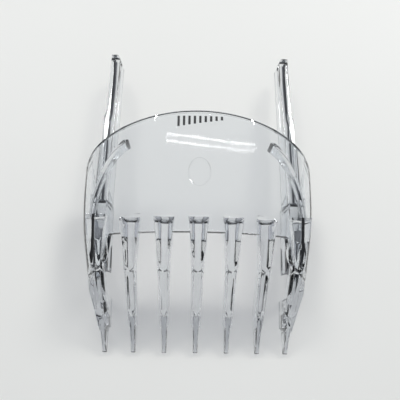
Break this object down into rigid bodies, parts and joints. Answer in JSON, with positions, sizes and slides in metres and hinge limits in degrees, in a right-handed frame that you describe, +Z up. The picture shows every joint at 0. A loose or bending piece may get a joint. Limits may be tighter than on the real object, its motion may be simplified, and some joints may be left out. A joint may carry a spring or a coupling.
{
  "type": "clipper guard comb",
  "caption": "Clear plastic hair-clipper guard comb: arched hood between two cheeks, a row of sloping teeth in front and two flexing snap arms behind.",
  "frame": {"origin": "bottom centre of the bounding box, on the surface the comb stands on", "axes": "+Z up, +Y from the tooth tips to the arm ends, +X to the right seen from above with the arms away"},
  "size_m": [0.0506, 0.071, 0.0224],
  "materials": {
    "clear_polycarbonate": "clear, polished mould finish",
    "black_ink": "pad-printed ink"
  },
  "bodies": {
    "moulding": {"hood": "clear_polycarbonate", "tooth_bar": "clear_polycarbonate", "left_cheek": "clear_polycarbonate", "right_cheek": "clear_polycarbonate", "left_guide_rib": "clear_polycarbonate", "right_guide_rib": "clear_polycarbonate", "left_arm_block": "clear_polycarbonate", "right_arm_block": "clear_polycarbonate", "tooth_1": "clear_polycarbonate", "tooth_2": "clear_polycarbonate", "tooth_3": "clear_polycarbonate", "tooth_4": "clear_polycarbonate", "tooth_5": "clear_polycarbonate", "tooth_6": "clear_polycarbonate", "tooth_7": "clear_polycarbonate", "size_mark": "black_ink"},
    "left_snap_arm": {"left_arm": "clear_polycarbonate", "left_arm_rail": "clear_polycarbonate", "left_click_nub": "clear_polycarbonate"},
    "right_snap_arm": {"right_arm": "clear_polycarbonate", "right_arm_rail": "clear_polycarbonate", "right_click_nub": "clear_polycarbonate"}
  },
  "joints": [
    {"name": "left_arm_flex", "type": "hinge", "parent": "moulding", "child": "left_snap_arm", "pos_m": [-0.02117, 0.0032, 0.0094], "axis": [0, 0, -1], "range_deg": [-1.5, 3], "stiffness_Nm_per_rad": 0.75},
    {"name": "right_arm_flex", "type": "hinge", "parent": "moulding", "child": "right_snap_arm", "pos_m": [0.02117, 0.0032, 0.0094], "axis": [0, 0, 1], "range_deg": [-1.5, 3], "stiffness_Nm_per_rad": 0.75}
  ]
}
